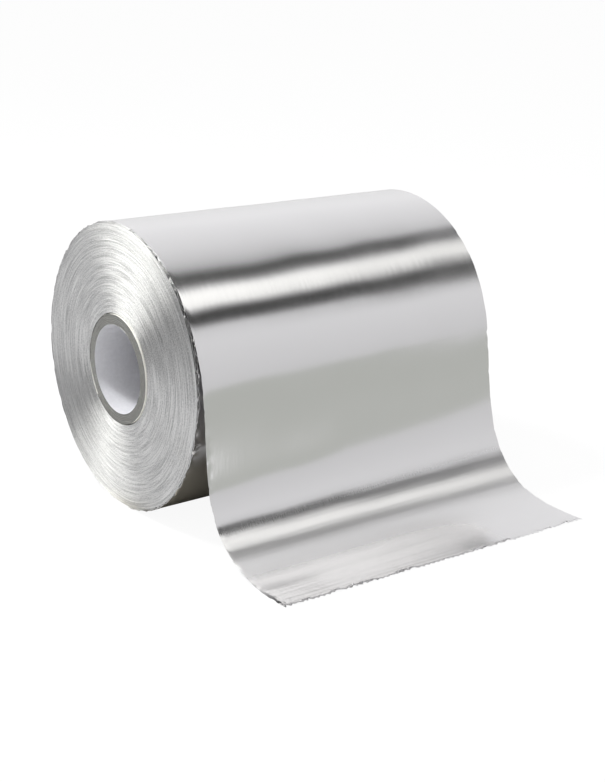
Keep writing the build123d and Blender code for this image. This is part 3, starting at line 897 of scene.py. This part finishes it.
floor_tone_with_painted_shade = add(tree, "ShaderNodeMix", {0: painted_shade_share, 6: linear("#F4F4F4"), 7: linear("#8C887C")},
                 data_type="RGBA").outputs[2]
matt_white = add(tree, "ShaderNodeBsdfDiffuse", {"Color": floor_tone_with_painted_shade}).outputs[0]
pure_white = add(tree, "ShaderNodeEmission", {"Color": linear("#FFFFFF"), "Strength": 1.0}).outputs[0]
both = add(tree, "ShaderNodeMixShader", {0: share, 1: matt_white, 2: pure_white}).outputs[0]
add(tree, "ShaderNodeOutputMaterial", {"Surface": both})
floor_corners = level_corners(-4, 4, -4, 4, rest_level)
floor = studio_mesh("white_floor", floor_corners, [(0, 1, 2, 3)], floor_finish, only_mirrored=False)
floor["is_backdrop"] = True
print("floor at", round(rest_level / MM, 2), "mm")

# %% [markdown]
# The tent is one long half-cylinder round the roll's axis. Its cloth is painted by height, which is an
# angle round that axis: a colour ramp goes in degrees from the front, over the top, to the back.

# %% The tent's cloth
tent_finish, tree = start_finish("lit_tent_cloth")
parts = add(tree, "ShaderNodeSeparateXYZ", {0: add(tree, "ShaderNodeTexCoord").outputs["Object"]}).outputs
forward = add(tree, "ShaderNodeMath", {0: parts[1], 1: -1.0}, operation="MULTIPLY").outputs[0]
turned = add(tree, "ShaderNodeMath", {0: parts[2], 1: forward}, operation="ARCTAN2").outputs[0]
height_share = add(tree, "ShaderNodeMapRange", {"Value": turned, "From Max": pi}).outputs[0]
degrees_up = add(tree, "ShaderNodeMath", {0: turned, 1: 180 / pi}, operation="MULTIPLY").outputs[0]
cloth = add(tree, "ShaderNodeValToRGB", {0: height_share})
cloth_tones = ((0, 0.62), (30, 0.7), (60, 0.68), (90, 0.42), (97, 0.55), (110, 0.69), (146, 0.86),
               (180, 0.76))
while len(cloth.color_ramp.elements) < len(cloth_tones):
    cloth.color_ramp.elements.new(0.5)
for stop, (height, tone) in zip(cloth.color_ramp.elements, cloth_tones):
    stop.position = height / 180
    stop.color = (tone, tone, tone, 1)
light = cloth.outputs[0]
print("the cloth has", len(cloth_tones), "tones")

# %% [markdown]
# What hangs on the tent gives the roll its bands. A bright strip light runs along it, above the roll and in
# front, between two long dark cloths. Its far half is dimmer, and one more dark cloth hangs low there. The
# near end of the tent is dark too, apart from a bright wall at its back, which lights up the roll's end.

# %% What hangs on the tent
# All of it climbs by 15 degrees from 0.62 m along the tent to 0.86 m
climb = add(tree, "ShaderNodeMapRange",
            {"Value": parts[0], "From Min": 0.62, "From Max": 0.86, "To Max": 15.0}).outputs[0]
hung_height = add(tree, "ShaderNodeMath", {0: degrees_up, 1: climb}, operation="SUBTRACT").outputs[0]
# Heights from and to and how soft its sides are, places along the tent from and to and how soft its ends
# are, and how bright it is
hangings = {
    "far strip light": (56.5, 71, 2.5, 0.5, 2.6, 0.1, 0.85),
    "strip light": (56.5, 71, 2.5, -0.2, 0.6, 0.1, 1.16),
    "low dark cloth": (28, 45, 3, 0.7, 1.1, 0.06, 0.12),
    "lower dark cloth": (42, 54.5, 3, -0.2, 0.98, 0.16, 0.03),
    "upper dark cloth": (74.5, 88, 3, -0.2, 0.82, 0.1, 0.04),
    "dark end cloth": (-10, 195, 4, -2, -0.25, 0.06, 0.01),
    "bright back wall": (72, 171, 4, -1.12, 0.0, 0.06, 3.1)}
for name, (low, high, soft, near_end, far_end, soft_end, tone) in hangings.items():
    covered = 1.0
    for measure, place, width in ((hung_height, low, soft), (hung_height, high, -soft),
                                  (parts[0], near_end, soft_end), (parts[0], far_end, -soft_end)):
        within = add(tree, "ShaderNodeMapRange",
                     {"Value": measure, "From Min": place - width, "From Max": place + width},
                     interpolation_type="SMOOTHSTEP").outputs[0]
        covered = add(tree, "ShaderNodeMath", {0: covered, 1: within}, operation="MULTIPLY").outputs[0]
    # Each is a shade warmer than white
    hung = (tone, tone, tone * 0.96, 1)
    light = add(tree, "ShaderNodeMix", {0: covered, 6: light, 7: hung}, data_type="RGBA",
                label=name).outputs[2]
glow = add(tree, "ShaderNodeEmission", {"Color": light, "Strength": 1.0}).outputs[0]
add(tree, "ShaderNodeOutputMaterial", {"Surface": glow})
print(tent_finish.name, "has", len(tree.nodes), "nodes")

# %% [markdown]
# The half-cylinder itself is bent from flat panels, and its near end is closed by one more face, which the
# dark end cloth covers. Its far end stays open to the white room.

# %% The tent
tent_radius, tent_near, tent_far = 0.8, -1.7, 2.6
arc = [(-tent_radius * cos(radians(a)), tent_radius * sin(radians(a))) for a in range(-5, 186, 2)]
tent_points = [(x, y, z) for y, z in arc for x in (tent_near, tent_far)]
tent_faces = [(2 * i, 2 * i + 1, 2 * i + 3, 2 * i + 2) for i in range(len(arc) - 1)]
tent_faces.append(tuple(range(0, len(tent_points), 2)))
tent = studio_mesh("light_tent", tent_points, tent_faces, tent_finish)
tent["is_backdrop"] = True

# %% [markdown]
# Three grey cards lie just above the floor. The one in front dims what the hanging and the lying foil
# mirror of it, and the two pale ones do so for the roll's near end and for the foil at its foot.

# %% Three grey cards
card_level = rest_level + 0.5 * MM
for name, tone, *sides in (("card_in_front", "#B4B6B0", -0.1, 2.0, -0.9, -0.16),
                           ("card_at_the_end", "#D6D6D6", -1.8, -0.1, -0.9, 0.9),
                           ("card_by_the_foot", "#D6D6D6", -0.1, -0.062, -0.045, 0.9)):
    card_finish, tree = start_finish(name)
    glow = add(tree, "ShaderNodeEmission", {"Color": linear(tone), "Strength": 1.0}).outputs[0]
    add(tree, "ShaderNodeOutputMaterial", {"Surface": glow})
    card = studio_mesh(name, level_corners(*sides, card_level), [(0, 1, 2, 3)], card_finish)
    card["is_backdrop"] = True

# %% [markdown]
# The room round the tent is white. It lights matt things at three quarters of that, and what is seen or
# mirrored of it is plain white. Blender's Standard view shows the colours as they are written.

# %% World and colour management
world = bpy.data.worlds.new("white_room")
world.use_nodes = True
tree = world.node_tree
tree.nodes.clear()
ray = add(tree, "ShaderNodeLightPath").outputs
seen = add(tree, "ShaderNodeMath", {0: ray["Is Camera Ray"], 1: ray["Is Glossy Ray"]},
           operation="MAXIMUM").outputs[0]
seen = add(tree, "ShaderNodeMath", {0: seen, 1: ray["Is Transmission Ray"]}, operation="MAXIMUM").outputs[0]
room = add(tree, "ShaderNodeBackground", {"Color": linear("#FFFFFF"), "Strength": 0.75}).outputs[0]
white = add(tree, "ShaderNodeBackground", {"Color": linear("#FFFFFF"), "Strength": 1.0}).outputs[0]
mixed = add(tree, "ShaderNodeMixShader", {0: seen, 1: room, 2: white}).outputs[0]
add(tree, "ShaderNodeOutputWorld", {"Surface": mixed})
bpy.context.scene.world = world
bpy.context.scene.view_settings.view_transform = "Standard"
print(world.name, "has", len(tree.nodes), "nodes")

# %% [markdown]
# Two square lamps look at the middle of the roll. The large soft one high in front gives the matt things
# their shade, and the small one above the near end reaches into the bore. The foil mirrors neither.

# %% Lamps
for name, width, watts, place in (("soft_key", 1.6, 12, (-0.9, -0.9, 1.5)),
                                  ("end_lamp", 0.12, 6, (-0.3, 0.25, 0.6))):
    lamp_data = bpy.data.lights.new(name, "AREA")
    lamp_data.size = width
    lamp_data.energy = watts
    lamp = bpy.data.objects.new(name, lamp_data)
    bpy.context.scene.collection.objects.link(lamp)
    lamp.location = place
    lamp.rotation_mode = "QUATERNION"
    lamp.rotation_quaternion = Vector(place).to_track_quat("Z", "Y")
    lamp.visible_glossy = False
    print(name, width, "m wide,", watts, "W")

# %% [markdown]
# ## The camera
#
# The camera's place and turn were worked out from the outline of the roll's near end, its bore and its
# edges. Its distance behind the picture came out as 1,511 of the picture's dots, of which 782 make up the
# height. The sensor is 36 mm on its longer side, which is upright here.

# %% Camera
focal_dots, picture_height = 1511, 782
camera_data = bpy.data.cameras.new("camera")
camera_data.sensor_width = 36
camera_data.lens = focal_dots / picture_height * camera_data.sensor_width
camera = bpy.data.objects.new("camera", camera_data)
bpy.context.scene.collection.objects.link(camera)
yaw, pitch, tilt = radians(36.54), radians(18.31), radians(-1.15)
forward = Vector((sin(yaw) * cos(pitch), cos(yaw) * cos(pitch), -sin(pitch)))
level = Vector((cos(yaw), -sin(yaw), 0))
down = forward.cross(level)
right = cos(tilt) * level + sin(tilt) * down
down = -sin(tilt) * level + cos(tilt) * down
place = Matrix((right, -down, -forward)).transposed().to_4x4()
place.translation = (-0.29324, -0.41673, 0.15045)
camera.matrix_world = place
bpy.context.scene.camera = camera
print("camera lens", round(camera_data.lens, 2), "mm")

# %% [markdown]
# ## The pieces on the model's body
#
# Each piece rides on the model's one body, and the part of the imported model that it stands for is hidden.
# The box of the dressed model is printed, as those of the imported parts were at the start.

# %% Bodies and the dressed model's box
foil_pieces = [wound_turns, last_turn, *loose_turns]
homes = [(piece, "foil", "foil") for piece in foil_pieces] + [(paper_core, "core", "core_board")]
for piece, node, slot in homes:
    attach(piece, "root")
    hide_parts(node)
low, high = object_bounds()
print("visual box", [round(v / MM, 2) for v in (*low, *high)], "mm")
